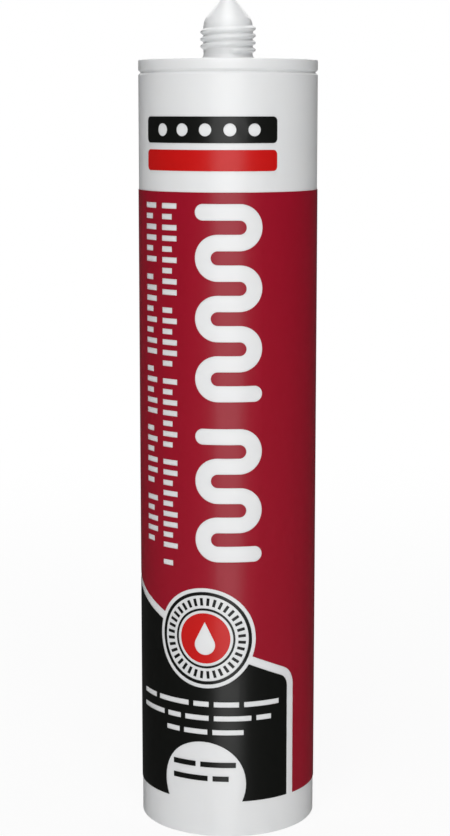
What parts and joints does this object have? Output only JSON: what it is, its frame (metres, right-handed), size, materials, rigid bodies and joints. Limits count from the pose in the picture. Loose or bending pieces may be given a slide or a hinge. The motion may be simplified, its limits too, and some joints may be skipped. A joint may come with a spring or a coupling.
{
  "type": "caulk tube",
  "caption": "Standing caulk tube: white moulded barrel with a grooved rim and a closed threaded spigot, a sliding rear piston, and a wrapped print in crimson, charcoal and red.",
  "frame": {"origin": "centre of the open rear rim, on the surface the tube stands on", "axes": "+Z along the barrel towards the spigot's tip; the front of the print, which the picture shows, faces -Y; +X is to the right seen from the front"},
  "size_m": [0.0496, 0.0496, 0.2318],
  "materials": {
    "barrel_plastic": "satin white moulded polyethylene",
    "piston_plastic": "soft natural polyethylene",
    "sealant_paste": "white paste",
    "crimson_ink": "satin printing ink",
    "charcoal_ink": "satin printing ink",
    "red_ink": "satin printing ink"
  },
  "bodies": {
    "cartridge": {"cartridge": "barrel_plastic", "sealant": "sealant_paste", "print_crimson": "crimson_ink", "print_black": "charcoal_ink", "print_red": "red_ink"},
    "piston": {"piston": "piston_plastic"}
  },
  "joints": [
    {"name": "piston_slide", "type": "slide", "parent": "cartridge", "child": "piston", "axis": [0, 0, 1], "range_m": [0, 0.1776], "deforming": ["sealant"]}
  ]
}
